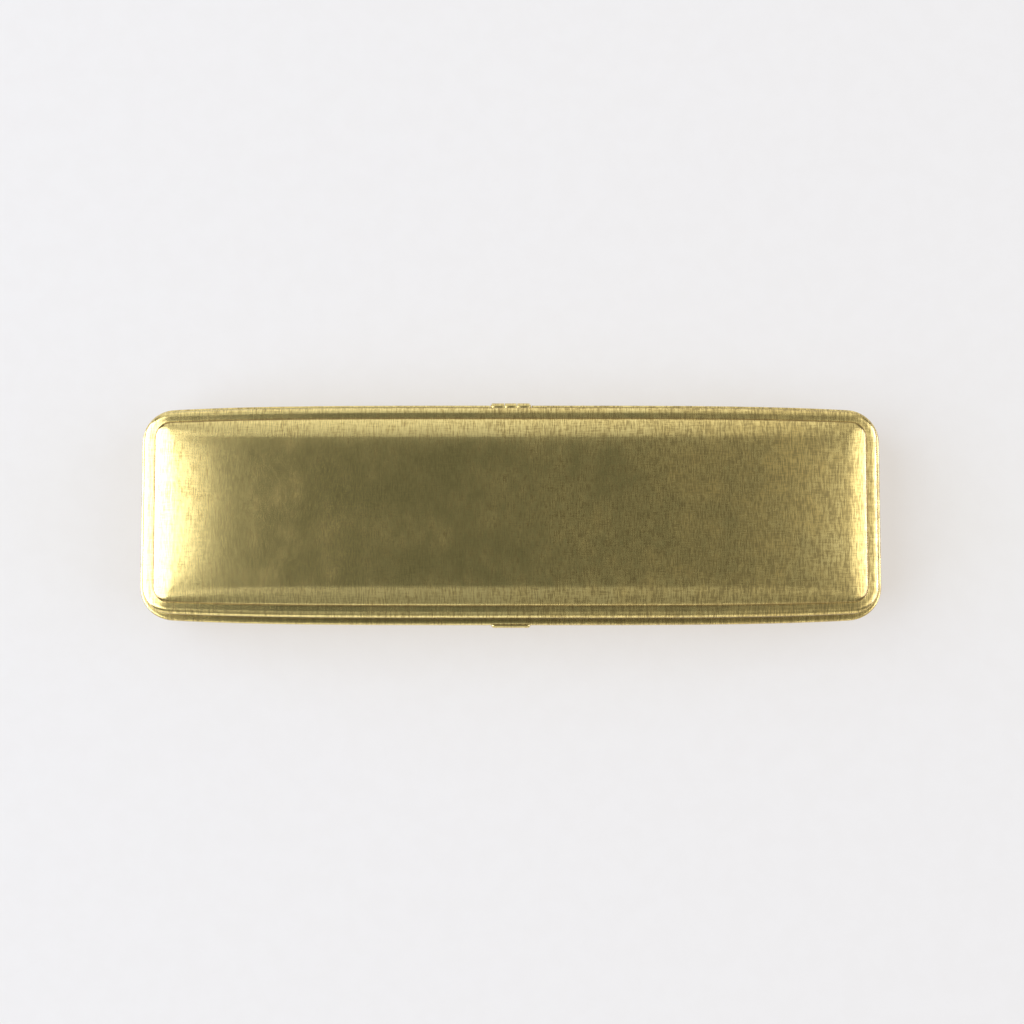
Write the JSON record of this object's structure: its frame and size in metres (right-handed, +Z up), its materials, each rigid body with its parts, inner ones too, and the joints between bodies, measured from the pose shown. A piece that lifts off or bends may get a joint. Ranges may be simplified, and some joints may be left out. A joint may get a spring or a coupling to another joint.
{
  "type": "needle case",
  "caption": "Flat pocket needle case of pressed brass with a hinged domed lid, an inner collar, a thumb tab and a felt needle pad.",
  "frame": {"origin": "centre of the underside, at the bottom of the bounding box", "axes": "+X along the case, -Y towards the thumb tab, +Y towards the hinge, +Z up out of the lid"},
  "size_m": [0.12, 0.0366, 0.0134],
  "materials": {
    "shell_brass": "hand polished, aged, with brown patina and fine brush marks",
    "fitting_brass": "polished, lightly worn",
    "card": "plain grey-brown card",
    "wadding": "loose cotton wadding",
    "felt": "undyed wool felt"
  },
  "bodies": {
    "base": {"base_shell": "shell_brass", "base_collar": "fitting_brass", "base_hinge_leaf": "fitting_brass", "hinge_pin": "fitting_brass", "pad_board": "card", "pad_wadding": "wadding", "needle_pad": "felt"},
    "lid": {"lid_shell": "shell_brass", "lid_hinge_leaf": "fitting_brass", "thumb_tab": "fitting_brass"}
  },
  "joints": [
    {"name": "lid_hinge", "type": "hinge", "parent": "base", "child": "lid", "pos_m": [0, 0.01765, 0.0059], "axis": [-1, 0, 0], "range_deg": [0, 110]}
  ]
}
